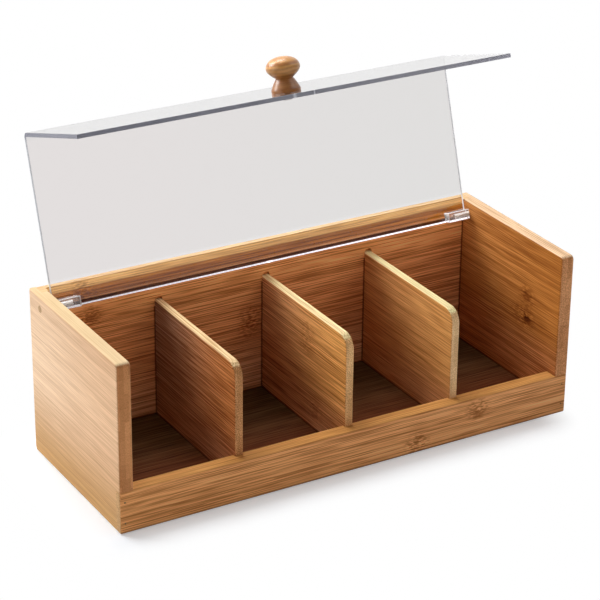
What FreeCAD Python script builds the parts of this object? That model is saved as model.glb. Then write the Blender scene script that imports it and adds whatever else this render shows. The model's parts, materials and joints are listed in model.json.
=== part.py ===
import FreeCAD, Part
import math
import os

# Bamboo box with four open-fronted bays and a clear lid that swings up and back.
# Millimetres. X runs along the length, the open front faces -Y, Z is up.
# The origin is the middle of the base. The lid stands open, leaning on the back panel.

# Box
box_length = 343.0
box_depth = 129.2
box_height = 118.5
edge_round = 1.2

# Side panels
side_thickness = 9.8
front_corner_round = 3.2
foot_corner_round = 3.0

# Back panel: its ends sit in rabbets in the side panels
back_thickness = 9.8
back_lap = 5.0
back_chamfer = 5.2

# Front rail: thin tongues at its ends lap over the front edges of the side panels
rail_height = 29.5
rail_thickness = 9.8
rail_lap = 5.0

# Floor: flush with the base, with a tongue all round in grooves of the four walls
floor_thickness = 9.8
tongue_thickness = 4.0
tongue_height = 3.0
tongue_length = 3.0

# Dividers: let into the rail and the back panel, standing on the floor
divider_names = ("divider_left", "divider_middle", "divider_right")
divider_thickness = 6.0
divider_height = 84.4
divider_corner_round = 10.0
divider_edge_round = 0.8
rail_dado_depth = 2.0
back_dado_depth = 3.0

# Lid: one bent clear sheet
sheet_thickness = 2.8
bend_inner_round = 0.8
polish_round = 0.3
lid_side_gap = 1.1
lid_drop = 2.5
lip_proud = 1.1
lip_rail_gap = 0.3

# Hinge: clear blocks inside the lid's rear edge turn on pins held in the side panels
block_length = 17.4
block_width = 7.0
block_depth = 5.8
block_edge_round = 0.5
pin_diameter = 3.5
pin_reach = 11.5
pin_running_gap = 0.05
pin_end_gap = 0.4
swing_gap = 0.35
stop_gap = 0.1
plug_diameter = 5.0
plug_depth = 3.0

# Knob, turned about an axis square to the lip
knob_edge_distance = 24.5
knob_height = 23.4
knob_foot_diameter = 19.4
knob_foot_rim = 2.0
knob_neck_diameter = 11.4
knob_neck_height = 9.2
knob_head_diameter = 22.6
foot_bell_width_share = 0.56
head_radius_shares = (0.68, 0.83, 0.96, 1.0, 0.965, 0.81, 0.46, 0.0)
head_height_shares = (0.11, 0.22, 0.36, 0.49, 0.62, 0.80, 0.95, 1.0)

# Knob screw, from the lip's inner face
screw_diameter = 4.0
screw_hole_gap = 0.3
screw_grip = 11.0
screw_bore_spare = 1.0
screw_head_diameter = 7.4
screw_head_height = 2.4
screw_head_round = 1.0
screw_slot_width = 1.0
screw_slot_depth = 1.1

# Brads, driven in a little below the surface
brad_diameter = 1.3
brad_length = 19.0
brad_sink = 0.7
rail_brad_inset = 3.6
rail_brad_height_shares = (0.24, 0.75)
back_brad_height_shares = (0.14, 0.5, 0.86)

# Fits and cutting
seat_gap = 0.02
match_gap = 0.01
cut_overrun = 1.0

# Planes of the box
half_length = box_length / 2
inner_half_length = half_length - side_thickness
front_y = -box_depth / 2
rear_y = box_depth / 2
rail_inner_y = front_y + rail_thickness
lap_y = front_y + rail_lap
back_inner_y = rear_y - back_thickness
divider_top = floor_thickness + divider_height
tongue_top = tongue_height + tongue_thickness

# Hinge axis: the lid's rear edge clears the back panel as it swings past it
rear_reach = block_width / 2
inner_reach = block_depth / 2
outer_reach = inner_reach + sheet_thickness
axis_y = back_inner_y - math.hypot(rear_reach, outer_reach) - swing_gap
axis_z = box_height - lid_drop - outer_reach

# Lean of the open lid: its outer face meets the lower edge of the back panel's chamfer
stop_y = back_inner_y - axis_y
stop_z = box_height - back_chamfer - axis_z
stop_angle = math.atan2(stop_z, stop_y)
open_lean = math.acos((outer_reach + stop_gap) / math.hypot(stop_y, stop_z)) - stop_angle
swing_degrees = math.degrees(math.pi / 2 + open_lean)

# Planes of the closed lid
lid_half_length = inner_half_length - lid_side_gap
lid_rear_y = axis_y + rear_reach
lid_under_z = axis_z + inner_reach
lid_top_z = axis_z + outer_reach
lip_outer_y = front_y - lip_proud
lip_inner_y = lip_outer_y + sheet_thickness
lip_foot_z = rail_height + lip_rail_gap
knob_z = lip_foot_z + knob_edge_distance

along_x = FreeCAD.Vector(1, 0, 0)
along_y = FreeCAD.Vector(0, 1, 0)


def board(x_range, y_range, z_range):
    corner = FreeCAD.Vector(x_range[0], y_range[0], z_range[0])
    sizes = [high - low for low, high in (x_range, y_range, z_range)]
    return Part.makeBox(*sizes, corner)


def rod(diameter, start, end):
    run = end - start
    return Part.makeCylinder(diameter / 2, run.Length, start, run)


def lies_on(edge, axis, place):
    return all(abs(getattr(vertex, axis) - place) < match_gap for vertex in edge.Vertexes)


def rounded(shape, radius, wanted):
    return shape.makeFillet(radius, [edge for edge in shape.Edges if wanted(edge)])


def mirrored(shape):
    return shape.mirror(FreeCAD.Vector(0, 0, 0), along_x)


# Brads on the left: x, the face they are driven into, the way they go in, z
rail_brads = [(rail_brad_inset - half_length, front_y, 1, share * rail_height)
              for share in rail_brad_height_shares]
back_brads = [(-inner_half_length - back_lap / 2, rear_y, -1, share * box_height)
              for share in back_brad_height_shares]


def brad(x, face_y, way, z):
    head = FreeCAD.Vector(x, face_y + way * brad_sink, z)
    return rod(brad_diameter, head, head + along_y * way * brad_length)


def brad_hole(x, face_y, way, z):
    mouth = FreeCAD.Vector(x, face_y - way * cut_overrun, z)
    end = FreeCAD.Vector(x, face_y + way * (brad_sink + brad_length), z)
    return rod(brad_diameter + seat_gap, mouth, end)


def brad_group(places):
    return Part.makeCompound([brad(*place) for place in places])


# Left hinge pin, and the plug that covers its outer end
plug_face = FreeCAD.Vector(-half_length, axis_y, axis_z)
pin_outer = FreeCAD.Vector(plug_depth - half_length, axis_y, axis_z)
pin_inner = FreeCAD.Vector(pin_reach - lid_half_length, axis_y, axis_z)


def left_side_panel():
    panel = board((-half_length, -inner_half_length), (front_y, rear_y), (0, box_height))
    panel = rounded(panel, front_corner_round,
                    lambda edge: lies_on(edge, "Y", front_y) and lies_on(edge, "Z", box_height))
    panel = rounded(panel, foot_corner_round,
                    lambda edge: lies_on(edge, "Y", rear_y) and lies_on(edge, "Z", 0))
    panel = rounded(panel, edge_round,
                    lambda edge: lies_on(edge, "X", -half_length) or lies_on(edge, "X", -inner_half_length))
    inside_x = cut_overrun - inner_half_length
    rabbet = board((-inner_half_length - back_lap, inside_x), (back_inner_y, rear_y + cut_overrun),
                   (-cut_overrun, box_height + cut_overrun))
    notch = board((-half_length - cut_overrun, inside_x), (front_y - cut_overrun, lap_y),
                  (-cut_overrun, rail_height))
    groove = board((-inner_half_length - tongue_length, inside_x),
                   (lap_y - cut_overrun, back_inner_y + cut_overrun), (tongue_height, tongue_top))
    pin_bore = rod(pin_diameter + seat_gap, pin_outer, pin_inner)
    plug_bore = rod(plug_diameter + seat_gap, plug_face - along_x * cut_overrun, pin_outer)
    nail_holes = [brad_hole(*place) for place in rail_brads + back_brads]
    return panel.cut([rabbet, notch, groove, pin_bore, plug_bore] + nail_holes)


def divider_places():
    pitch = (2 * inner_half_length + divider_thickness) / (len(divider_names) + 1)
    return [pitch * (index + 1) - inner_half_length - divider_thickness / 2
            for index in range(len(divider_names))]


def divider_span(x):
    return (x - divider_thickness / 2, x + divider_thickness / 2)


def front_rail():
    rail = board((-half_length, half_length), (front_y, rail_inner_y), (0, rail_height))
    rail = rounded(rail, edge_round, lambda edge: lies_on(edge, "Y", front_y)
                   or lies_on(edge, "X", -half_length) or lies_on(edge, "X", half_length))
    above = rail_height + cut_overrun
    behind = rail_inner_y + cut_overrun
    left_end = board((-half_length - cut_overrun, -inner_half_length), (lap_y, behind), (-cut_overrun, above))
    groove = board((-inner_half_length, inner_half_length), (rail_inner_y - tongue_length, behind),
                   (tongue_height, tongue_top))
    dadoes = [board(divider_span(x), (rail_inner_y - rail_dado_depth, behind), (floor_thickness, above))
              for x in divider_places()]
    holes = [brad_hole(*place) for place in rail_brads]
    return rail.cut([left_end, mirrored(left_end), groove] + dadoes + holes + [mirrored(h) for h in holes])


def chamfer_wedge():
    def point(y, z):
        return FreeCAD.Vector(-inner_half_length, y, z)

    low, high = box_height - back_chamfer, box_height + cut_overrun
    shallow, deep = back_inner_y - cut_overrun, back_inner_y + back_chamfer
    outline = Part.makePolygon([point(back_inner_y, low), point(deep, box_height), point(deep, high),
                                point(shallow, high), point(shallow, low), point(back_inner_y, low)])
    return Part.Face(outline).extrude(along_x * 2 * inner_half_length)


def back_panel():
    end_x = inner_half_length + back_lap
    groove_x = inner_half_length + tongue_length
    panel = board((-end_x, end_x), (back_inner_y, rear_y), (0, box_height))
    panel = rounded(panel, edge_round, lambda edge: lies_on(edge, "Y", rear_y)
                    and (lies_on(edge, "Z", 0) or lies_on(edge, "Z", box_height)))
    before = back_inner_y - cut_overrun
    dado_floor = back_inner_y + back_dado_depth
    cuts = [chamfer_wedge(), board((-groove_x, groove_x), (before, back_inner_y + tongue_length),
                                   (tongue_height, tongue_top))]
    for x in divider_places():
        cuts.append(board(divider_span(x), (before, dado_floor), (floor_thickness, divider_top)))
        cuts.append(rod(divider_thickness, FreeCAD.Vector(x, before, divider_top),
                        FreeCAD.Vector(x, dado_floor, divider_top)))
    for place in back_brads:
        cuts += [brad_hole(*place), mirrored(brad_hole(*place))]
    return panel.cut(cuts)


def floor_panel():
    core = board((-inner_half_length, inner_half_length), (rail_inner_y, back_inner_y), (0, floor_thickness))
    tongue_x = inner_half_length + tongue_length
    tongue = board((-tongue_x, tongue_x), (rail_inner_y - tongue_length, back_inner_y + tongue_length),
                   (tongue_height, tongue_top))
    return core.fuse(tongue).removeSplitter()


def divider(x):
    front = rail_inner_y - rail_dado_depth
    rear = back_inner_y + back_dado_depth
    faces_x = divider_span(x)
    panel = board(faces_x, (front, rear), (floor_thickness, divider_top))
    panel = rounded(panel, divider_corner_round,
                    lambda edge: lies_on(edge, "Y", front) and lies_on(edge, "Z", divider_top))
    return rounded(panel, divider_edge_round,
                   lambda edge: (lies_on(edge, "X", faces_x[0]) or lies_on(edge, "X", faces_x[1]))
                   and not lies_on(edge, "Y", rear) and not lies_on(edge, "Z", floor_thickness))


# Lid pieces, drawn closed
def lid_sheet():
    def point(y, z):
        return FreeCAD.Vector(-lid_half_length, y, z)

    bend_outer_round = bend_inner_round + sheet_thickness
    bend_y = lip_outer_y + bend_outer_round
    bend_z = lid_top_z - bend_outer_round

    def bend(radius):
        slant = radius / math.sqrt(2)
        return Part.Arc(point(bend_y, bend_z + radius), point(bend_y - slant, bend_z + slant),
                        point(bend_y - radius, bend_z)).toShape()

    outline = Part.Wire([
        Part.makeLine(point(lid_rear_y, lid_top_z), point(bend_y, lid_top_z)),
        bend(bend_outer_round),
        Part.makeLine(point(lip_outer_y, bend_z), point(lip_outer_y, lip_foot_z)),
        Part.makeLine(point(lip_outer_y, lip_foot_z), point(lip_inner_y, lip_foot_z)),
        Part.makeLine(point(lip_inner_y, lip_foot_z), point(lip_inner_y, bend_z)),
        bend(bend_inner_round),
        Part.makeLine(point(bend_y, lid_under_z), point(lid_rear_y, lid_under_z)),
        Part.makeLine(point(lid_rear_y, lid_under_z), point(lid_rear_y, lid_top_z))])
    sheet = Part.Face(outline).extrude(along_x * 2 * lid_half_length)
    sheet = rounded(sheet, polish_round, lambda edge: lies_on(edge, "Z", lip_foot_z)
                    or lies_on(edge, "X", -lid_half_length) or lies_on(edge, "X", lid_half_length)
                    or lies_on(edge, "Y", lid_rear_y) and lies_on(edge, "Z", lid_top_z))
    return sheet.cut(rod(screw_diameter + screw_hole_gap,
                         FreeCAD.Vector(0, lip_outer_y - cut_overrun, knob_z),
                         FreeCAD.Vector(0, lip_inner_y + cut_overrun, knob_z)))


def left_hinge_block():
    block = board((-lid_half_length, block_length - lid_half_length),
                  (lid_rear_y - block_width, lid_rear_y), (lid_under_z - block_depth, lid_under_z))
    block = rounded(block, block_edge_round, lambda edge: not lies_on(edge, "Z", lid_under_z))
    mouth = FreeCAD.Vector(-lid_half_length - cut_overrun, axis_y, axis_z)
    bore = rod(pin_diameter + 2 * pin_running_gap, mouth, pin_inner + along_x * pin_end_gap)
    return block.cut(bore)


def knob():
    def turned(radius, height):
        return FreeCAD.Vector(radius, lip_outer_y - height, knob_z)

    foot_radius = knob_foot_diameter / 2
    neck_radius = knob_neck_diameter / 2
    head_rise = knob_height - knob_neck_height
    bell_radius = neck_radius + (foot_radius - neck_radius) * foot_bell_width_share
    bell_height = (knob_foot_rim + knob_neck_height) / 2
    centre, crown = turned(0, 0), turned(0, knob_height)
    rim_low, rim_high = turned(foot_radius, 0), turned(foot_radius, knob_foot_rim)
    neck = turned(neck_radius, knob_neck_height)
    head = Part.BSplineCurve()
    head.interpolate([neck] + [turned(wide * knob_head_diameter / 2, knob_neck_height + high * head_rise)
                               for wide, high in zip(head_radius_shares, head_height_shares)])
    outline = Part.Wire([
        Part.makeLine(centre, rim_low),
        Part.makeLine(rim_low, rim_high),
        Part.Arc(rim_high, turned(bell_radius, bell_height), neck).toShape(),
        head.toShape(),
        Part.makeLine(crown, centre)])
    body = Part.Face(outline).revolve(centre, along_y, 360)
    return body.cut(rod(screw_diameter + seat_gap, turned(0, -cut_overrun),
                        turned(0, screw_grip + screw_bore_spare)))


def knob_screw():
    seat = FreeCAD.Vector(0, lip_inner_y, knob_z)
    crown = seat + along_y * screw_head_height
    head = rounded(rod(screw_head_diameter, seat, crown), screw_head_round,
                   lambda edge: lies_on(edge, "Y", crown.y))
    shank = rod(screw_diameter, FreeCAD.Vector(0, lip_outer_y - screw_grip, knob_z), seat)
    slot = board((-screw_head_diameter, screw_head_diameter),
                 (crown.y - screw_slot_depth, crown.y + cut_overrun),
                 (knob_z - screw_slot_width / 2, knob_z + screw_slot_width / 2))
    return head.fuse(shank).removeSplitter().cut(slot)


def opened(shape):
    shape.rotate(FreeCAD.Vector(0, axis_y, axis_z), along_x, -swing_degrees)
    return shape


left_panel = left_side_panel()
pieces = {
    "left_side_panel": left_panel,
    "right_side_panel": mirrored(left_panel),
    "back_panel": back_panel(),
    "front_rail": front_rail(),
    "floor_panel": floor_panel(),
    "lid_sheet": opened(lid_sheet()),
    "lid_knob": opened(knob()),
    "knob_screw": opened(knob_screw()),
}
for name, place in zip(divider_names, divider_places()):
    pieces[name] = divider(place)
left_pieces = {
    "hinge_pin": rod(pin_diameter, pin_outer, pin_inner),
    "pin_plug": rod(plug_diameter, plug_face, pin_outer),
    "hinge_block": opened(left_hinge_block()),
    "rail_brads": brad_group(rail_brads),
    "back_brads": brad_group(back_brads),
}
for name, shape in left_pieces.items():
    pieces[name + "_left"] = shape
    pieces[name + "_right"] = mirrored(shape)

os.makedirs("parts", exist_ok=True)
for name, shape in pieces.items():
    shape.exportStep("parts/" + name + ".step")
print("hinge axis y and z:", round(axis_y, 4), round(axis_z, 4), "swing in degrees:", round(swing_degrees, 4))
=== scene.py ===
"""Looks of a bamboo compartment box with a clear hinged lid, its studio and its camera."""

import json
import math
from collections import namedtuple

import bpy
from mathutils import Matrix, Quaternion, Vector

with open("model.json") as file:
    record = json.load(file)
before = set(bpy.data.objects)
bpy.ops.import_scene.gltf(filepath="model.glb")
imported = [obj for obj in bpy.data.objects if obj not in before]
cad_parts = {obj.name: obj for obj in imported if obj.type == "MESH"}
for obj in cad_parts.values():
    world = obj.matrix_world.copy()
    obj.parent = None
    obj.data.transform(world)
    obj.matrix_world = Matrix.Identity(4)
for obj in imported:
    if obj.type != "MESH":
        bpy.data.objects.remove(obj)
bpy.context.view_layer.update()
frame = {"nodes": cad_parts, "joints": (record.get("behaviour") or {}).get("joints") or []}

# Lengths are in metres, angles in degrees and colours in linear light.

# A lamp: its direction from the object, distance, width and brightness, and if polished surfaces mirror it
Lamp = namedtuple("Lamp", "direction distance size share mirrored", defaults=(True,))

# The weights of the streaks in the grain
Figure = namedtuple("Figure", "band fibre fine grit vein")

# A stem joint: where it is along and across the grain, and the strength of its stain and its dark spot
Knuckle = namedtuple("Knuckle", "along across stain spot")

# A board: the axes of its grain and thickness, the tones of its faces at both ends, of its long edges
# and of its end grain, its figure and seed, and then what only some boards have: stem joints, tones
# below a set height or in front of a set depth, the skin and core of a bevel, and tones of the far
# face and the far end
# On most boards the tones below a set height or in front of a set depth are painted light, shade or
# reflection
Board = namedtuple("Board", "grain thick near far edge end figure seed marks foot bevel outer tail",
                   defaults=((), (), None, None, None))

# A line where boards meet: its two planes and the height it ends at
Corner = namedtuple("Corner", "planes top")

WHITE = (1.0, 1.0, 1.0, 1.0)
AXES = "XYZ"
HALF = 0.5

# Camera, at the photograph's viewing angle
VIEW_AZIMUTH = -30.45
VIEW_ELEVATION = 24.89
VIEW_ROLL = 0.63
VIEW_DISTANCE = 1.52112
VIEW_TARGET = (-0.00491, 0.0, 0.09894)
SENSOR_WIDTH = 36.0
FOCAL_LENGTH = 137.3

# Lamps
LAMPS = {
    "back_left": Lamp((-0.55, 0.8, 0.6), 1.5, 0.8, 0.83),
    "back_high": Lamp((0.0, 0.6, 1.0), 1.5, 0.8, 0.66),
    "left": Lamp((-1.0, 0.0, 0.25), 1.3, 1.0, 0.19),
    "right_high": Lamp((0.7, -0.35, 0.8), 1.4, 0.8, 0.15),
    "front": Lamp((0.15, -1.0, 0.15), 1.5, 1.0, 0.155, mirrored=False),
    "front_high": Lamp((0.0, -0.7, 0.8), 1.5, 0.8, 0.04),
}

# Room: what polished surfaces mirror fades from the white backdrop to a dim front
ROOM_DIM = 0.06
ROOM_FADE = (-0.55, 0.15)

# Floor: the soft shadow shows near the footprint, and plain white further out
FLOOR_HALF_SIZE = 4.0
FLOOR_GAP = 0.0002
FLOOR_COLOUR = (0.77, 0.81, 0.86, 1.0)
FLOOR_ROUGHNESS = 0.9
FLOOR_LIFT = 0.27
SHADOW_MIDDLE = (-0.013, 0.0)
SHADOW_HALF_SIZE = (0.159, 0.0646)
SHADOW_NEAR = -0.004
SHADOW_FAR = 0.034

# Noise: how many finer layers it carries
NOISE_PURE = 0.0
NOISE_FAIR = 1.0
NOISE_FINE = 2.0

# Bamboo: strips glued side by side, in plies across the thickness
STRIP_WIDTH = 0.0198
STRIP_CONTRAST = 0.06
PLY_THICKNESS = 0.0033
PLY_SHIFT = 0.37
PLY_CONTRAST = 0.12
GLUE_LINE = 0.0004
GLUE_DARKNESS = 0.12
PORE_SPACING = 0.0011
PORE_SIZE = (0.16, 0.34)
PORE_DARKNESS = 0.14
EDGE_CALM = 0.4
FACING_RAMP = (0.55, 0.85)
BEVEL_RISE = (0.50, 0.65)
BEVEL_FALL = (0.90, 0.75)
FACE_PLY = 0.0015
PLY_BLEND = 0.0003

# Bamboo grain: the length and the width of one streak of each kind
BAND_STREAK = (0.35, 0.0090)
FIBRE_STREAK = (0.10, 0.0030)
FINE_STREAK = (0.28, 0.00070)
GRIT_STREAK = (0.024, 0.00065)
VEIN_STREAKS = ((0.30, 0.0009), (0.10, 0.0007))
VEIN_FADE = (0.05, 0.0120)
HAIR_STREAK = (0.02, 0.0004)
WANDER_STREAK = (0.16, 0.030)
STREAK_RAMP = (0.36, 0.64)
VEIN_RAMP = (0.47, 0.39)
VEIN_LEAST = 0.35
GRAIN_WANDER = 0.0012
GRAIN_RELIEF = 0.00010
GRAIN_BUMP = 0.35
HAIR_BUMP = 0.3
SHADE_POWERS = (1.0, 1.35, 1.7)

# Steps between the seeds of one board's noises
FIBRE_SEED = 3.0
FINE_SEED = 5.0
GRIT_SEED = 6.0
VEIN_SEED = 7.0
VEIN_FADE_SEED = 2.0
HAIR_SEED = 9.0
WANDER_SEED = 11.0
FLECK_SEED = 13.0

# Lacquer on the bamboo
LACQUER_ROUGHNESS = 0.40
LACQUER_UNEVENNESS = 0.14
LACQUER_SHINE = 0.08

# Stem joints: half the length and width of the stain and of the dark spot, and the size of one fleck
STAIN_REACH = (0.0122, 0.0105)
SPOT_REACH = (0.0062, 0.0036)
KNUCKLE_FLECK = (0.0034, 0.0013)
KNUCKLE_BEND = 0.0016
FLECK_RAMP = (0.36, 0.64)
STAIN_DARKNESS = 0.44
STAIN_FLECKS = 0.52
SPOT_DARKNESS = 0.72

# Painted shade: dark lines in the inner corners where two boards meet
CORNER_SHADE_REACH = 0.0013
CORNER_SHADE_DARKNESS = 0.72
CORNER_SHADE_STOP = 0.004

# Lid: its own directions in the open pose
LID_LEAN = math.radians(frame["joints"][0]["range_deg"][1] - 90.0)
LID_RISE = Vector((0.0, math.sin(LID_LEAN), math.cos(LID_LEAN)))
LID_FORE = Vector((0.0, -math.cos(LID_LEAN), math.sin(LID_LEAN)))

# Acrylic of the lid's sheet and blocks
ACRYLIC_IOR = 1.49
RIPPLE_PITCH = 0.015
RIPPLE_ROUGHNESS = 0.015
POLISH_ROUGHNESS = 0.002
ABSORPTION_DENSITY = 30.0
SHEET_ABSORPTION = (0.76, 0.76, 0.79, 1.0)
BLOCK_ABSORPTION = (0.95, 0.95, 0.96, 1.0)

# Sheet: its tints from end to end, near the bend, and none below the height where the tint starts, which
# keeps the wood seen through the lower sheet brighter as painted light
SHEET_LEFT = (0.815, 0.780, 0.772, 1.0)
SHEET_RIGHT = (0.795, 0.782, 0.772, 1.0)
LIP_TINT = (0.75, 0.735, 0.732, 1.0)
LIP_DEPTH = 0.0032
CLEAR_RISE = (0.128, 0.137)

# Sheet's sawn edges: dull and frosted, with a dark tint as painted shade that drifts along the lip, lighter
# to the right, and two painted gleams beside the knob
END_RAMP = (0.5, 0.8)
END_TINT = (0.50, 0.50, 0.52, 1.0)
CUT_LEFT = (0.265, 0.262, 0.315, 1.0)
CUT_RIGHT = (0.45, 0.442, 0.50, 1.0)
CUT_DRIFT = 1.2
CUT_DRIFT_PITCH = 0.03
CUT_FROST = 0.75
CUT_ROUGHNESS = 0.5
CUT_ROUND = 0.0004
GLEAMS = ((-0.0074, 0.0022), (0.0072, 0.0009))
GLEAM_TINT = (0.90, 0.90, 0.95, 1.0)

# Sheet's lower edge: a painted glowing line that stands in for the light the edge gathers, with one painted
# glint, and a dark gutter above it as painted shade
BAND_SOLID = 0.8
GLOW_HEIGHT = 0.0010
GLOW_TINT = (0.95, 0.95, 1.0, 1.0)
GLOW_LEFT = 0.19
GLOW_RIGHT = 0.80
GLINT_PLACE = 0.0
GLINT_REACH = 0.003
GUTTER_HEIGHT = 0.0034
GUTTER_SHADE = (0.16, 0.135, 0.145, 1.0)

# Blocks: clear faces, with the rounded arrises made pale and partly opaque as painted highlights
BLOCK_TINT = (1.0, 0.96, 0.93, 1.0)
BLOCK_CLEARNESS = 0.85
ARRIS_RAMP = (0.99, 0.93)
ARRIS_HIGHLIGHT = 0.55
ARRIS_ROUGHNESS = 0.3

# Knob: turned from a block of glued plies, with painted shade darkening the neck and the foot
KNOB_LIGHT = (0.92, 0.47, 0.145, 1.0)
KNOB_DARK = (0.52, 0.205, 0.055, 1.0)
RINGS_PER_METRE = 420.0
RING_WANDER = 1.4
RING_WANDER_PITCH = 0.011
RING_RAMP = (0.36, 0.74)
RING_BUMP = 0.2
KNOB_HAIR = 0.0006
KNOB_HAIR_SHARE = 0.12
NECK_ABOVE = 0.002
NECK_BELOW = 0.001
KNOB_FOOT_SHADE = (0.26, 0.06, 0.006, 1.0)
KNOB_FOOT_SHADE_SHARE = 0.60
KNOB_ROUGHNESS = 0.25
KNOB_UNEVENNESS = 0.1
KNOB_COAT = 0.15
KNOB_COAT_ROUGHNESS = 0.25

# Steel: scratches drawn out along one axis
SCRATCHES_ACROSS = 4000.0
SCRATCHES_ALONG = 150.0
SCRATCH_RAMP = (0.35, 0.7)
SCRATCH_SHADE = 0.8
SCRATCH_UNEVENNESS = 0.2
SCRATCH_BUMP = 0.15
SCRATCH_RELIEF = GRAIN_RELIEF / 4
PIN_STEEL = (0.78, 0.77, 0.75, 1.0)
PIN_ROUGHNESS = 0.16
SCREW_STEEL = (0.70, 0.70, 0.70, 1.0)
SCREW_ROUGHNESS = 0.22
BRAD_STEEL = (0.16, 0.13, 0.11, 1.0)
BRAD_ROUGHNESS = 0.4

# How lively the grain is
QUIET = Figure(0.03, 0.02, 0.06, 0.06, 0.04)
CALM = Figure(0.02, 0.02, 0.145, 0.135, 0.125)
PLAIN = Figure(0.02, 0.02, 0.17, 0.16, 0.15)
LIVELY = Figure(0.02, 0.02, 0.20, 0.18, 0.17)
KEEN = Figure(0.02, 0.03, 0.19, 0.17, 0.15)
STRONG = Figure(0.02, 0.03, 0.25, 0.22, 0.20)

# Tones that several boards share
TAN = (0.85, 0.525, 0.30, 1.0)
OUTER = (0.70, 0.43, 0.22, 1.0)
BROWN = (0.74, 0.33, 0.135, 1.0)

# Left side panel
LEFT_REAR = (0.93, 0.64, 0.41, 1.0)
LEFT_TOP = (0.88, 0.66, 0.385, 1.0)
LEFT_END = (0.69, 0.297, 0.112, 1.0)
LEFT_FOOT = (0.66, 0.365, 0.135, 1.0)
LEFT_FOOT_HEIGHTS = (0.000, 0.056)

# Right side panel: a paler, greyer foot as painted light
RIGHT_FRONT = (0.485, 0.174, 0.035, 1.0)
RIGHT_REAR = (0.545, 0.217, 0.056, 1.0)
RIGHT_TOP = (0.88, 0.59, 0.355, 1.0)
RIGHT_FOOT_LIGHT = (0.60, 0.23, 0.077, 1.0)
RIGHT_FOOT_LIGHT_HEIGHTS = (0.030, 0.060)
RIGHT_KNUCKLES = (
    Knuckle(-0.0269, 0.0762, 1.0, 0.5),
    Knuckle(-0.0284, 0.0600, 1.0, 1.0),
    Knuckle(-0.0190, 0.0604, 0.8, 0.0),
)

# Back panel: tones on its inner face change with height as painted light and shade, with a dark head band
# under the bevel as painted shade and a greyer foot as a painted reflection of the floor
BACK_HEAD_SHADE = (0.66, 0.20, 0.022, 1.0)
BACK_EDGE = (0.88, 0.59, 0.315, 1.0)
BACK_SKIN = (0.46, 0.142, 0.014, 1.0)
BACK_BEVEL = (0.98, 0.525, 0.172, 1.0)
BACK_FACE = (0.95, 0.398, 0.131, 1.0)
BACK_MIDDLE = (0.82, 0.326, 0.114, 1.0)
BACK_FOOT_REFLECTION = (0.84, 0.43, 0.21, 1.0)
BACK_FACE_HEIGHTS = (0.1082, 0.1088)
BACK_MIDDLE_HEIGHTS = (0.072, 0.098)
BACK_FOOT_REFLECTION_HEIGHTS = (0.010, 0.062)
BACK_ZONES = (
    (BACK_FACE, BACK_FACE_HEIGHTS),
    (BACK_MIDDLE, BACK_MIDDLE_HEIGHTS),
    (BACK_FOOT_REFLECTION, BACK_FOOT_REFLECTION_HEIGHTS),
)
BACK_KNUCKLES = (
    Knuckle(-0.1325, 0.0938, 1.0, 0.3),
    Knuckle(-0.0120, 0.0668, 0.9, 0.0),
    Knuckle(-0.0125, 0.0580, 0.9, 0.0),
    Knuckle(-0.138, 0.112, 1.0, 0.0),
)

# Front rail: a dark line along the foot of its faces as painted contact shade
RAIL_LEFT = (0.82, 0.355, 0.120, 1.0)
RAIL_RIGHT = (0.86, 0.384, 0.142, 1.0)
RAIL_TOP = (0.66, 0.31, 0.089, 1.0)
RAIL_END = (0.64, 0.37, 0.16, 1.0)
RAIL_FOOT_SHADE = (0.40, 0.16, 0.05, 1.0)
RAIL_FOOT_SHADE_HEIGHTS = (0.0004, 0.0026)
RAIL_KNUCKLES = (
    Knuckle(0.0978, 0.0212, 1.0, 0.0),
    Knuckle(0.0493, 0.0080, 1.05, 0.0),
)

# Floor panel: tones far darker than the other boards' as painted shade in the bays, redder towards the
# front
FLOOR_FRONT = (0.145, 0.034, 0.0088, 1.0)
FLOOR_REAR = (0.125, 0.068, 0.028, 1.0)
FLOOR_DEPTHS = (-0.045, 0.035)

# Dividers, from left to right: the left one's tones are darker as painted shade from the left side panel,
# each is darker towards the rear as painted shade, and the feet are greyer as a painted reflection of the
# floor
DIVIDERS = ("divider_left", "divider_middle", "divider_right")
DIVIDER_NEAR = ((0.55, 0.20, 0.058, 1.0), (0.75, 0.343, 0.091, 1.0), (0.68, 0.320, 0.095, 1.0))
DIVIDER_FAR = ((0.33, 0.18, 0.112, 1.0), (0.65, 0.295, 0.124, 1.0), (0.66, 0.295, 0.102, 1.0))
DIVIDER_TOPS = ((0.88, 0.615, 0.32, 1.0), (0.945, 0.74, 0.383, 1.0), (0.98, 0.85, 0.45, 1.0))
DIVIDER_ENDS = ((0.62, 0.285, 0.108, 1.0), (0.90, 0.51, 0.22, 1.0), (0.885, 0.553, 0.274, 1.0))
DIVIDER_FEET_REFLECTION = ((0.43, 0.20, 0.105, 1.0), (0.74, 0.366, 0.175, 1.0), (0.68, 0.335, 0.15, 1.0))
DIVIDER_FOOT_HEIGHTS = (0.010, 0.052)
DIVIDER_FIGURES = (STRONG, LIVELY, CALM)
DIVIDER_SEEDS = (5.3, 6.3, 7.3)
MIDDLE_KNUCKLES = (
    Knuckle(-0.0062, 0.0800, 0.5, 0.0),
    Knuckle(-0.0070, 0.0680, 0.5, 0.0),
    Knuckle(-0.0182, 0.0244, 0.6, 0.0),
)
DIVIDER_KNUCKLES = ((), MIDDLE_KNUCKLES, ())

# Plugs over the pins
PLUG_END = (0.50, 0.29, 0.14, 1.0)
PLUG_SEEDS = {"pin_plug_left": 8.9, "pin_plug_right": 9.7}

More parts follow.
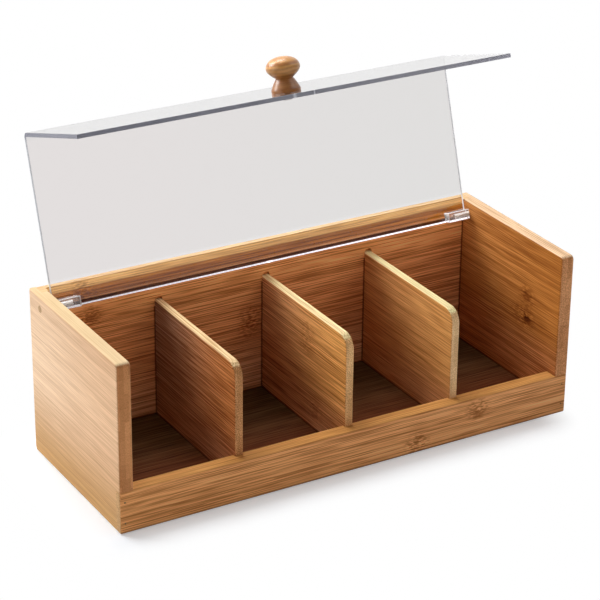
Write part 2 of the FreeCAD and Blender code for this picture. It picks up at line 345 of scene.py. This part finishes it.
BOARDS = {
    "left_side_panel": Board(
        grain="Y", thick="X", figure=QUIET, seed=0.5455,
        near=TAN, far=LEFT_REAR, edge=LEFT_TOP, end=LEFT_END, tail=OUTER,
        foot=((LEFT_FOOT, LEFT_FOOT_HEIGHTS),)),
    "right_side_panel": Board(
        grain="Y", thick="X", figure=KEEN, seed=1.6,
        near=RIGHT_FRONT, far=RIGHT_REAR, edge=RIGHT_TOP, end=BROWN, outer=OUTER, tail=OUTER,
        foot=((RIGHT_FOOT_LIGHT, RIGHT_FOOT_LIGHT_HEIGHTS),), marks=RIGHT_KNUCKLES),
    "back_panel": Board(
        grain="X", thick="Y", figure=LIVELY, seed=2.2,
        near=BACK_HEAD_SHADE, far=BACK_HEAD_SHADE, edge=BACK_EDGE, end=BROWN, outer=OUTER,
        foot=BACK_ZONES, marks=BACK_KNUCKLES, bevel=(BACK_SKIN, BACK_BEVEL)),
    "front_rail": Board(
        grain="X", thick="Y", figure=PLAIN, seed=3.1,
        near=RAIL_LEFT, far=RAIL_RIGHT, edge=RAIL_TOP, end=RAIL_END,
        foot=((RAIL_FOOT_SHADE, RAIL_FOOT_SHADE_HEIGHTS),), marks=RAIL_KNUCKLES),
    "floor_panel": Board(
        grain="X", thick="Z", figure=STRONG, seed=4.7,
        near=FLOOR_REAR, far=FLOOR_REAR, edge=BROWN, end=BROWN,
        foot=((FLOOR_FRONT, FLOOR_DEPTHS),)),
}
for index, name in enumerate(DIVIDERS):
    BOARDS[name] = Board(
        grain="Y", thick="X", figure=DIVIDER_FIGURES[index], seed=DIVIDER_SEEDS[index],
        near=DIVIDER_NEAR[index], far=DIVIDER_FAR[index], edge=DIVIDER_TOPS[index], end=DIVIDER_ENDS[index],
        foot=((DIVIDER_FEET_REFLECTION[index], DIVIDER_FOOT_HEIGHTS),), marks=DIVIDER_KNUCKLES[index])
for name, seed in PLUG_SEEDS.items():
    BOARDS[name] = Board(
        grain="X", thick="Z", figure=QUIET, seed=seed,
        near=TAN, far=TAN, edge=TAN, end=PLUG_END)


def extent(name):
    """The low and the high corner of one CAD node."""
    corners = [vertex.co for vertex in frame["nodes"][name].data.vertices]
    low = Vector([min(corner[axis] for corner in corners) for axis in range(3)])
    high = Vector([max(corner[axis] for corner in corners) for axis in range(3)])
    return low, high


# Lines where the boards meet inside the box
FLOOR_TOP = ("Z", extent("floor_panel")[1].z)
BACK_FRONT = ("Y", extent("back_panel")[0].y)
RAIL_BACK = ("Y", extent("front_rail")[1].y)
BOX_TOP = extent("back_panel")[1].z
DIVIDER_TOP = extent("divider_left")[1].z
WALLS = [("X", extent("left_side_panel")[1].x, BOX_TOP), ("X", extent("right_side_panel")[0].x, BOX_TOP)]
for name in DIVIDERS:
    WALLS.extend(("X", corner.x, DIVIDER_TOP - CORNER_SHADE_STOP) for corner in extent(name))
CORNERS = [Corner((side, FLOOR_TOP), BOX_TOP) for side in (BACK_FRONT, RAIL_BACK)]
for axis, level, top in WALLS:
    CORNERS.extend(Corner(((axis, level), plane), top) for plane in (FLOOR_TOP, BACK_FRONT))
BAYS = {
    "X": (WALLS[0][1], WALLS[1][1]),
    "Y": (RAIL_BACK[1], BACK_FRONT[1]),
    "Z": (FLOOR_TOP[1], BOX_TOP),
}


class Graph:
    """Short calls that add shader nodes to one tree and link them."""

    def __init__(self, tree):
        self.tree = tree

    def feed(self, socket, value):
        if isinstance(value, bpy.types.NodeSocket):
            self.tree.links.new(value, socket)
        elif value is not None:
            socket.default_value = value

    def add(self, kind, *values, **settings):
        node = self.tree.nodes.new("ShaderNode" + kind)
        for key, value in settings.items():
            setattr(node, key, value)
        for socket, value in zip(node.inputs, values):
            self.feed(socket, value)
        return node

    def math(self, operation, *values):
        return self.add("Math", *values, operation=operation).outputs[0]

    def gap(self, value, level):
        """How far a value is from a level, either way."""
        return self.math("ABSOLUTE", self.math("SUBTRACT", value, level))

    def span(self, value, low, high):
        """Rises smoothly from 0 at low to 1 at high."""
        node = self.add("MapRange", value, low, high, interpolation_type="SMOOTHSTEP")
        return node.outputs[0]

    def vector(self, x, y, z):
        return self.add("CombineXYZ", x, y, z).outputs[0]

    def dot(self, vector, direction):
        node = self.add("VectorMath", vector, tuple(direction), operation="DOT_PRODUCT")
        return node.outputs["Value"]

    def mix(self, share, first, second, blend="MIX"):
        node = self.add("Mix", data_type="RGBA", blend_type=blend)
        self.feed(node.inputs[6], first)
        self.feed(node.inputs[7], second)
        self.feed(node.inputs[0], share)
        return node.outputs[2]

    def noise(self, vector, detail=NOISE_FINE):
        return self.add("TexNoise", vector, None, 1.0, detail).outputs[0]

    def speckle(self, pitch):
        """Even noise with one blob in each pitch."""
        return self.add("TexNoise", self.point(), None, 1 / pitch, NOISE_FINE).outputs[0]

    def chance(self, x, y, z):
        """One random value for each whole place."""
        return self.add("TexWhiteNoise", self.vector(x, y, z)).outputs[0]

    def point(self):
        return self.add("TexCoord").outputs["Object"]

    def normal(self):
        return self.add("TexCoord").outputs["Normal"]

    def place(self):
        """The point in the piece's own frame, as one socket for each axis."""
        return dict(zip(AXES, self.add("SeparateXYZ", self.point()).outputs))

    def along(self, direction):
        """How far the point lies along a direction."""
        return self.dot(self.point(), direction)

    def facing(self):
        """How squarely the surface faces along each axis, from 0 to 1."""
        parts = self.add("SeparateXYZ", self.normal()).outputs
        return {axis: self.math("ABSOLUTE", part) for axis, part in zip(AXES, parts)}

    def bump(self, strength, relief, height):
        node = self.add("Bump", strength, relief)
        self.feed(node.inputs["Height"], height)
        return node.outputs[0]


def new_material(name):
    """A material with one Principled shader, and the graph to add to."""
    material = bpy.data.materials.new(name)
    material.use_nodes = True
    graph = Graph(material.node_tree)
    shader = material.node_tree.nodes["Principled BSDF"]
    return material, graph, shader


def streaks(graph, along, across, depth, size, seed, detail=NOISE_FINE):
    """Noise drawn out along the grain: size is the length and the width of one streak."""
    length, width = size
    return graph.noise(graph.vector(
        graph.math("MULTIPLY_ADD", along, 1 / length, seed),
        graph.math("MULTIPLY", across, 1 / width),
        graph.math("MULTIPLY", depth, 1 / width),
    ), detail)


def veins(graph, along, across, depth, seed):
    """Thin dark lines along the grain that come and go."""
    dark = 0.0
    for index, size in enumerate(VEIN_STREAKS):
        level = streaks(graph, along, across, depth, size, seed + index, NOISE_PURE)
        dark = graph.math("MAXIMUM", graph.span(level, *VEIN_RAMP), dark)
    fade = streaks(graph, along, across, depth, VEIN_FADE, seed + VEIN_FADE_SEED)
    fade = graph.span(fade, *STREAK_RAMP)
    return graph.math("MULTIPLY", dark, graph.math("MULTIPLY_ADD", fade, 1.0 - VEIN_LEAST, VEIN_LEAST))


def grain(graph, board, along, across, depth):
    """The streaks of a board's grain, as a factor about 1."""
    figure, seed = board.figure, board.seed
    layers = (
        (streaks(graph, along, across, depth, BAND_STREAK, seed), figure.band),
        (streaks(graph, along, across, depth, FIBRE_STREAK, seed + FIBRE_SEED), figure.fibre),
        (streaks(graph, along, across, depth, FINE_STREAK, seed + FINE_SEED, NOISE_PURE), figure.fine),
        (streaks(graph, along, across, depth, GRIT_STREAK, seed + GRIT_SEED, NOISE_PURE), figure.grit),
    )
    shade = 1.0 - sum(weight for layer, weight in layers)
    for layer, weight in layers:
        shade = graph.math("MULTIPLY_ADD", graph.span(layer, *STREAK_RAMP), 2 * weight, shade)
    lines = veins(graph, along, across, depth, seed + VEIN_SEED)
    return graph.math("MULTIPLY_ADD", lines, -figure.vein, shade)


def strips(graph, board, level, depth, end_share):
    """The glued strips, with the plies and pores that show in the end grain, as a factor about 1."""
    seed = board.seed
    ply_place = graph.math("FLOOR", graph.math("MULTIPLY_ADD", depth, 1 / PLY_THICKNESS, seed))
    strip_place = graph.math("MULTIPLY_ADD", level, 1 / STRIP_WIDTH, seed)
    cell_place = graph.math("FLOOR", graph.math("MULTIPLY_ADD", ply_place, PLY_SHIFT, strip_place))
    strip_tint = graph.chance(graph.math("FLOOR", strip_place), seed, 0.0)
    cell_tint = graph.chance(cell_place, ply_place, seed)
    glue = graph.span(graph.math("PINGPONG", strip_place, HALF), GLUE_LINE / STRIP_WIDTH, 0.0)
    tone = graph.math("MULTIPLY_ADD", strip_tint, 2 * STRIP_CONTRAST, 1.0 - STRIP_CONTRAST)
    tone = graph.math("MULTIPLY_ADD", glue, -GLUE_DARKNESS, tone)
    ply_share = graph.math("MULTIPLY", end_share, 2 * PLY_CONTRAST)
    tone = graph.math("MULTIPLY_ADD", graph.math("SUBTRACT", cell_tint, HALF), ply_share, tone)
    pores = graph.add("TexVoronoi", graph.vector(level, depth, seed), None, 1 / PORE_SPACING).outputs[0]
    dots = graph.math("MULTIPLY", graph.span(pores, PORE_SIZE[1], PORE_SIZE[0]), end_share)
    return graph.math("MULTIPLY_ADD", dots, -PORE_DARKNESS, tone)


def patch(graph, along, across, mark, reach):
    """A soft round patch about a stem joint, from 1 in its middle to 0 at its reach."""
    u = graph.math("DIVIDE", graph.math("SUBTRACT", along, mark.along), reach[0])
    v = graph.math("DIVIDE", graph.math("SUBTRACT", across, mark.across), reach[1])
    away = graph.math("MULTIPLY_ADD", u, u, graph.math("MULTIPLY", v, v))
    return graph.span(away, 1.0, 0.0)


def knuckles(graph, board, along, across, depth):
    """The stains and spots of a board's stem joints, as a factor."""
    shade = 1.0
    if not board.marks:
        return shade
    flecks = streaks(graph, along, across, depth, KNUCKLE_FLECK, board.seed + FLECK_SEED)
    flecks = graph.span(flecks, *FLECK_RAMP)
    bend = graph.math("MULTIPLY_ADD", flecks, KNUCKLE_BEND, across)
    mottle = graph.math("MULTIPLY_ADD", flecks, STAIN_FLECKS, -STAIN_DARKNESS)
    for mark in board.marks:
        stain = graph.math("MULTIPLY", patch(graph, along, bend, mark, STAIN_REACH), mark.stain)
        spot = graph.math("MULTIPLY", patch(graph, along, bend, mark, SPOT_REACH), mark.spot)
        shade = graph.math("MULTIPLY", graph.math("MULTIPLY_ADD", stain, mottle, 1.0), shade)
        shade = graph.math("MULTIPLY", graph.math("MULTIPLY_ADD", spot, -SPOT_DARKNESS, 1.0), shade)
    return shade


def corner_shade(graph, name, place):
    """How much painted shade darkens the corners where this board meets another: 1 in those corners, 0
    elsewhere.
    """
    low, high = extent(name)
    dark = 0.0
    for planes, top in CORNERS:
        if all(low[AXES.index(axis)] - CORNER_SHADE_REACH < level < high[AXES.index(axis)] + CORNER_SHADE_REACH
               for axis, level in planes):
            gaps = [graph.gap(place[axis], level) for axis, level in planes]
            line = graph.span(graph.math("MAXIMUM", *gaps), CORNER_SHADE_REACH, 0.0)
            below = graph.math("LESS_THAN", place["Z"], top)
            dark = graph.math("MAXIMUM", graph.math("MULTIPLY", line, below), dark)
    for axis, (near, far) in BAYS.items():
        off = graph.gap(place[axis], (near + far) / 2)
        inside = graph.math("LESS_THAN", off, (far - near) / 2 + CORNER_SHADE_REACH)
        dark = graph.math("MULTIPLY", inside, dark)
    return dark


def bamboo(name, board):
    """Lacquered bamboo, with tones on the broad faces, the long edges and the end grain, some of them
    painted light and shade, and painted shade in the inner corners.
    """
    material, graph, shader = new_material("bamboo_" + name)
    place, facing = graph.place(), graph.facing()
    wide = next(axis for axis in AXES if axis not in (board.grain, board.thick))
    along, level, depth = (place[axis] for axis in (board.grain, wide, board.thick))
    front, rear = (corner[AXES.index(board.grain)] for corner in extent(name))
    near_face, far_face = (corner[AXES.index(board.thick)] for corner in extent(name))
    end_share = graph.span(facing[board.grain], *FACING_RAMP)
    edge_share = graph.span(facing[wide], *FACING_RAMP)

    wander = streaks(graph, along, level, depth, WANDER_STREAK, board.seed + WANDER_SEED)
    across = graph.math("MULTIPLY_ADD", wander, GRAIN_WANDER, level)
    relief = grain(graph, board, along, across, depth)
    calm = graph.math("MULTIPLY_ADD", graph.math("MAXIMUM", end_share, edge_share), -EDGE_CALM, 1.0)
    shade = graph.math("MULTIPLY_ADD", graph.math("SUBTRACT", relief, 1.0), calm, 1.0)
    shade = graph.math("MULTIPLY", shade, strips(graph, board, level, depth, end_share))
    shade = graph.math("MULTIPLY", shade, knuckles(graph, board, along, across, depth))
    # Painted shade in the inner corners where boards meet
    corner_darkening = graph.math("MULTIPLY_ADD", corner_shade(graph, name, place), -CORNER_SHADE_DARKNESS, 1.0)
    shade = graph.math("MULTIPLY", shade, corner_darkening)

    colour = graph.mix(graph.span(along, front, rear), board.near, board.far)
    # Tones below a set height or in front of a set depth: on most boards painted light, shade or reflection
    for foot_tone, foot_heights in board.foot:
        colour = graph.mix(graph.span(level, *foot_heights), foot_tone, colour)
    if board.outer:
        beyond = graph.math("GREATER_THAN", depth, (near_face + far_face) / 2)
        colour = graph.mix(beyond, colour, board.outer)
    colour = graph.mix(edge_share, colour, board.edge)
    end = board.end
    if board.tail:
        end = graph.mix(graph.math("GREATER_THAN", along, (front + rear) / 2), board.end, board.tail)
    colour = graph.mix(end_share, colour, end)
    if board.bevel:
        skin_tone, core_tone = board.bevel
        rise = graph.span(facing[wide], *BEVEL_RISE)
        fall = graph.span(facing[wide], *BEVEL_FALL)
        skin = near_face + FACE_PLY
        core = graph.span(depth, skin - PLY_BLEND, skin + PLY_BLEND)
        bevel = graph.mix(core, skin_tone, core_tone)
        colour = graph.mix(graph.math("MULTIPLY", rise, fall), colour, bevel)
    tinted = graph.vector(*(graph.math("POWER", shade, power) for power in SHADE_POWERS))
    graph.feed(shader.inputs["Base Color"], graph.mix(1.0, colour, tinted, "MULTIPLY"))

    hair = streaks(graph, along, across, depth, HAIR_STREAK, board.seed + HAIR_SEED)
    rough = graph.math("MULTIPLY_ADD", hair, LACQUER_UNEVENNESS, LACQUER_ROUGHNESS)
    height = graph.math("MULTIPLY_ADD", hair, HAIR_BUMP, relief)
    graph.feed(shader.inputs["Roughness"], rough)
    graph.feed(shader.inputs["Normal"], graph.bump(GRAIN_BUMP, GRAIN_RELIEF, height))
    shader.inputs["Specular IOR Level"].default_value = LACQUER_SHINE
    return material


def acrylic(name, finish, absorption):
    """Clear cast acrylic that lets the lamps through and darkens with depth, with a finish of its own."""
    material, graph, shader = new_material(name)
    shader.inputs["IOR"].default_value = ACRYLIC_IOR
    ripple = graph.math("MULTIPLY_ADD", graph.speckle(RIPPLE_PITCH), RIPPLE_ROUGHNESS, POLISH_ROUGHNESS)
    finish(graph, shader, ripple)
    clear = graph.add("BsdfTransparent", WHITE)
    shadow = graph.add("LightPath").outputs["Is Shadow Ray"]
    surface = graph.add("MixShader", shadow, shader.outputs[0], clear.outputs[0])
    inside = graph.add("VolumeAbsorption", absorption, ABSORPTION_DENSITY)
    output = material.node_tree.nodes["Material Output"]
    graph.feed(output.inputs["Surface"], surface.outputs[0])
    graph.feed(output.inputs["Volume"], inside.outputs[0])
    return material


def sheet_finish(graph, shader, ripple):
    """Frosted sawn edges with painted shade and two painted gleams, and a lower edge with a painted glow
    and glint under a painted dark gutter.
    """
    corners = [vertex.co for vertex in frame["nodes"]["lid_sheet"].data.vertices]
    foot = max(corner.dot(LID_FORE) for corner in corners)
    low = min(corner.dot(LID_RISE) for corner in corners)
    high = max(corner.dot(LID_RISE) for corner in corners)
    half = max(corner.x for corner in corners)
    side = graph.place()["X"]
    rightward = graph.span(side, -half, half)
    rise, fore = graph.along(LID_RISE), graph.along(LID_FORE)
    ends = graph.span(graph.facing()["X"], *END_RAMP)
    lip = graph.span(fore, foot - CUT_ROUND, foot - CUT_ROUND / 2)
    cut = graph.math("MAXIMUM", ends, lip)
    glow = graph.span(rise, low + GLOW_HEIGHT, low + GLOW_HEIGHT * BAND_SOLID)
    gutter_shade = graph.span(rise, low + GUTTER_HEIGHT, low + GUTTER_HEIGHT * BAND_SOLID)
    panel = graph.span(rise, high - LIP_DEPTH, high - 2 * LIP_DEPTH)
    tint_share = graph.span(rise, *CLEAR_RISE)

    colour = graph.mix(rightward, SHEET_LEFT, SHEET_RIGHT)
    colour = graph.mix(panel, LIP_TINT, colour)
    # Untinted below the tint's start: painted light on the wood seen through the sheet
    colour = graph.mix(tint_share, WHITE, colour)
    # Painted shade: a dark band above the lower edge
    colour = graph.mix(gutter_shade, colour, GUTTER_SHADE)
    colour = graph.mix(glow, colour, GLOW_TINT)

    drift = graph.math("SUBTRACT", rightward, CUT_DRIFT / 2)
    drift = graph.math("MULTIPLY_ADD", graph.speckle(CUT_DRIFT_PITCH), CUT_DRIFT, drift)
    gleam = 0.0
    for middle, reach in GLEAMS:
        gleam = graph.math("MAXIMUM", graph.span(graph.gap(side, middle), reach, 0.0), gleam)
    # Painted shade on the sawn edges, lighter towards the right, with two painted gleams
    sawn = graph.mix(drift, CUT_LEFT, CUT_RIGHT)
    sawn = graph.mix(graph.math("MULTIPLY", gleam, lip), sawn, GLEAM_TINT)
    sawn = graph.mix(panel, sawn, END_TINT)
    sawn = graph.mix(tint_share, WHITE, sawn)
    graph.feed(shader.inputs["Base Color"], graph.mix(cut, colour, sawn))

    frost = graph.math("MAXIMUM", cut, glow)
    graph.feed(shader.inputs["Transmission Weight"], graph.math("MULTIPLY_ADD", frost, -CUT_FROST, 1.0))
    graph.feed(shader.inputs["Roughness"], graph.math("MULTIPLY_ADD", frost, CUT_ROUGHNESS, ripple))

    # Painted glow: the lower edge gives off light though it is no lamp, brighter to the right, with one
    # painted glint in the middle
    brightness = graph.add("MapRange", side, -half, half, GLOW_LEFT, GLOW_RIGHT).outputs[0]
    glint = graph.span(graph.gap(side, GLINT_PLACE), GLINT_REACH, 0.0)
    brightness = graph.math("ADD", brightness, glint)
    shader.inputs["Emission Color"].default_value = GLOW_TINT
    graph.feed(shader.inputs["Emission Strength"], graph.math("MULTIPLY", glow, brightness))


def block_finish(graph, shader, ripple):
    """Polished faces, with rounded arrises made pale and partly opaque as painted highlights."""
    rise, fore = (graph.math("ABSOLUTE", graph.dot(graph.normal(), way)) for way in (LID_RISE, LID_FORE))
    flat = graph.math("MAXIMUM", graph.math("MAXIMUM", rise, fore), graph.facing()["X"])
    arris = graph.span(flat, *ARRIS_RAMP)
    # Painted highlights: the arrises let less through and show the pale tint
    clearness = graph.math("MULTIPLY_ADD", arris, -ARRIS_HIGHLIGHT, BLOCK_CLEARNESS)
    shader.inputs["Base Color"].default_value = BLOCK_TINT
    graph.feed(shader.inputs["Transmission Weight"], clearness)
    graph.feed(shader.inputs["Roughness"], graph.math("MULTIPLY_ADD", arris, ARRIS_ROUGHNESS, ripple))


def turned_bamboo(name):
    """Glossy turned bamboo: rings of paler and darker plies square to the knob's upright axis."""
    material, graph, shader = new_material(name)
    levels = [vertex.co.dot(LID_RISE) for vertex in frame["nodes"]["lid_knob"].data.vertices]
    neck = (min(levels) + max(levels)) / 2
    height = graph.along(LID_RISE)
    wander = graph.math("MULTIPLY", graph.speckle(RING_WANDER_PITCH), RING_WANDER)
    level = graph.math("MULTIPLY_ADD", height, RINGS_PER_METRE, wander)
    rings = graph.noise(graph.vector(0.0, 0.0, level), NOISE_FAIR)
    hair = graph.speckle(KNOB_HAIR)
    share = graph.span(graph.math("MULTIPLY_ADD", hair, KNOB_HAIR_SHARE, rings), *RING_RAMP)
    foot = graph.span(height, neck + NECK_ABOVE, neck - NECK_BELOW)
    colour = graph.mix(share, KNOB_LIGHT, KNOB_DARK)
    # Painted shade from the neck down
    colour = graph.mix(graph.math("MULTIPLY", foot, KNOB_FOOT_SHADE_SHARE), colour, KNOB_FOOT_SHADE)
    rough = graph.math("MULTIPLY_ADD", hair, KNOB_UNEVENNESS, KNOB_ROUGHNESS)
    graph.feed(shader.inputs["Base Color"], colour)
    graph.feed(shader.inputs["Roughness"], rough)
    graph.feed(shader.inputs["Normal"], graph.bump(RING_BUMP, GRAIN_RELIEF, rings))
    shader.inputs["Coat Weight"].default_value = KNOB_COAT
    shader.inputs["Coat Roughness"].default_value = KNOB_COAT_ROUGHNESS
    return material


def steel(name, colour, rough, scratch_axis):
    """Drawn or turned steel with fine scratches along one axis."""
    material, graph, shader = new_material(name)
    counts = {axis: SCRATCHES_ACROSS for axis in AXES}
    counts[scratch_axis] = SCRATCHES_ALONG
    drawn = (graph.math("MULTIPLY", part, counts[axis]) for axis, part in graph.place().items())
    scratches = graph.noise(graph.vector(*drawn))
    shaded = tuple(SCRATCH_SHADE * part for part in colour[:3]) + colour[3:]
    worn = graph.mix(graph.span(scratches, *SCRATCH_RAMP), colour, shaded)
    uneven = graph.math("MULTIPLY_ADD", scratches, SCRATCH_UNEVENNESS, rough)
    graph.feed(shader.inputs["Base Color"], worn)
    graph.feed(shader.inputs["Roughness"], uneven)
    graph.feed(shader.inputs["Normal"], graph.bump(SCRATCH_BUMP, SCRATCH_RELIEF, scratches))
    shader.inputs["Metallic"].default_value = 1.0
    return material


def dress(material, *names):
    """Gives one finish to CAD nodes."""
    for name in names:
        for slot in frame["nodes"][name].material_slots:
            slot.material = material


def dress_wood():
    for name, board in BOARDS.items():
        dress(bamboo(name, board), name)
    dress(turned_bamboo("turned_bamboo"), "lid_knob")


def dress_acrylic():
    dress(acrylic("acrylic_sheet", sheet_finish, SHEET_ABSORPTION), "lid_sheet")
    dress(acrylic("acrylic_block", block_finish, BLOCK_ABSORPTION),
          "hinge_block_left", "hinge_block_right")


def dress_metal():
    dress(steel("pin_steel", PIN_STEEL, PIN_ROUGHNESS, "X"), "hinge_pin_left", "hinge_pin_right")
    dress(steel("screw_steel", SCREW_STEEL, SCREW_ROUGHNESS, "X"), "knob_screw")
    dress(steel("brad_steel", BRAD_STEEL, BRAD_ROUGHNESS, "Y"),
          "rail_brads_left", "rail_brads_right", "back_brads_left", "back_brads_right")


def shown(graph, *kinds):
    """1 for a ray of these kinds that no dull surface has scattered before."""
    path = graph.add("LightPath").outputs
    seen = graph.math("LESS_THAN", path["Diffuse Depth"], HALF)
    kind = 0.0
    for name in kinds:
        kind = graph.math("MAXIMUM", path["Is %s Ray" % name], kind)
    return graph.math("MULTIPLY", seen, kind)


def make_floor():
    """A pale floor that shows the soft shadow near the object and is plain white further out."""
    mesh = bpy.data.meshes.new("floor")
    half = FLOOR_HALF_SIZE
    outline = ((-half, -half), (half, -half), (half, half), (-half, half))
    mesh.from_pydata([(x, y, -FLOOR_GAP) for x, y in outline], [], [(0, 1, 2, 3)])
    floor = bpy.data.objects.new("floor", mesh)
    bpy.context.scene.collection.objects.link(floor)
    material, graph, shader = new_material("floor")
    shader.inputs["Base Color"].default_value = FLOOR_COLOUR
    shader.inputs["Roughness"].default_value = FLOOR_ROUGHNESS
    shader.inputs["Specular IOR Level"].default_value = 0.0
    lift = graph.add("Emission", WHITE, FLOOR_LIFT)
    near = graph.add("AddShader", shader.outputs[0], lift.outputs[0])
    white = graph.add("Emission", WHITE, 1.0)
    place = graph.place()
    squares = []
    for axis, middle, reach in zip(AXES, SHADOW_MIDDLE, SHADOW_HALF_SIZE):
        past = graph.math("SUBTRACT", graph.gap(place[axis], middle), reach + SHADOW_NEAR)
        away = graph.math("MAXIMUM", past, 0.0)
        squares.append(graph.math("MULTIPLY", away, away))
    distance = graph.math("SQRT", graph.math("ADD", *squares))
    outside = graph.span(distance, 0.0, SHADOW_FAR - SHADOW_NEAR)
    plain = graph.add("MixShader", outside, near.outputs[0], white.outputs[0])
    seen = shown(graph, "Camera", "Glossy", "Transmission")
    both = graph.add("MixShader", seen, shader.outputs[0], plain.outputs[0])
    graph.feed(material.node_tree.nodes["Material Output"].inputs["Surface"], both.outputs[0])
    mesh.materials.append(material)


def make_world():
    """A white background where it shows, and a room that polished surfaces mirror."""
    world = bpy.data.worlds.new("studio")
    world.use_nodes = True
    bpy.context.scene.world = world
    graph = Graph(world.node_tree)
    direction = graph.add("SeparateXYZ", graph.add("TexCoord").outputs["Generated"]).outputs
    backdrop = graph.span(direction["Y"], *ROOM_FADE)
    mirrored = graph.math("MULTIPLY_ADD", backdrop, 1.0 - ROOM_DIM, ROOM_DIM)
    strength = graph.math("MULTIPLY", shown(graph, "Glossy"), mirrored)
    strength = graph.math("MAXIMUM", strength, shown(graph, "Camera", "Transmission"))
    light = graph.add("Background", WHITE, strength)
    graph.feed(world.node_tree.nodes["World Output"].inputs["Surface"], light.outputs[0])


def make_lamp(name, lamp):
    """A soft square lamp. Its share is how bright it alone would make a white surface square to it."""
    light = bpy.data.lights.new(name, "AREA")
    light.size = lamp.size
    light.energy = lamp.share * (math.pi * lamp.distance) ** 2
    towards = Vector(lamp.direction).normalized()
    holder = bpy.data.objects.new(name, light)
    holder.location = Vector(VIEW_TARGET) + towards * lamp.distance
    holder.rotation_mode = "QUATERNION"
    holder.rotation_quaternion = towards.to_track_quat("Z", "Y")
    holder.visible_camera = False
    holder.visible_transmission = False
    holder.visible_glossy = lamp.mirrored
    bpy.context.scene.collection.objects.link(holder)


def make_camera():
    azimuth, elevation = math.radians(VIEW_AZIMUTH), math.radians(VIEW_ELEVATION)
    back = Vector((math.sin(azimuth) * math.cos(elevation), -math.cos(azimuth) * math.cos(elevation),
                   math.sin(elevation)))
    data = bpy.data.cameras.new("camera")
    data.sensor_width = SENSOR_WIDTH
    data.lens = FOCAL_LENGTH
    camera = bpy.data.objects.new("camera", data)
    camera.location = Vector(VIEW_TARGET) + back * VIEW_DISTANCE
    camera.rotation_mode = "QUATERNION"
    level = (-back).to_track_quat("-Z", "Y")
    camera.rotation_quaternion = level @ Quaternion((0.0, 0.0, 1.0), math.radians(VIEW_ROLL))
    bpy.context.scene.collection.objects.link(camera)
    bpy.context.scene.camera = camera


dress_wood()
dress_acrylic()
dress_metal()
make_floor()
make_world()
for name, lamp in LAMPS.items():
    make_lamp(name, lamp)
make_camera()
bpy.context.scene.view_settings.view_transform = "Standard"
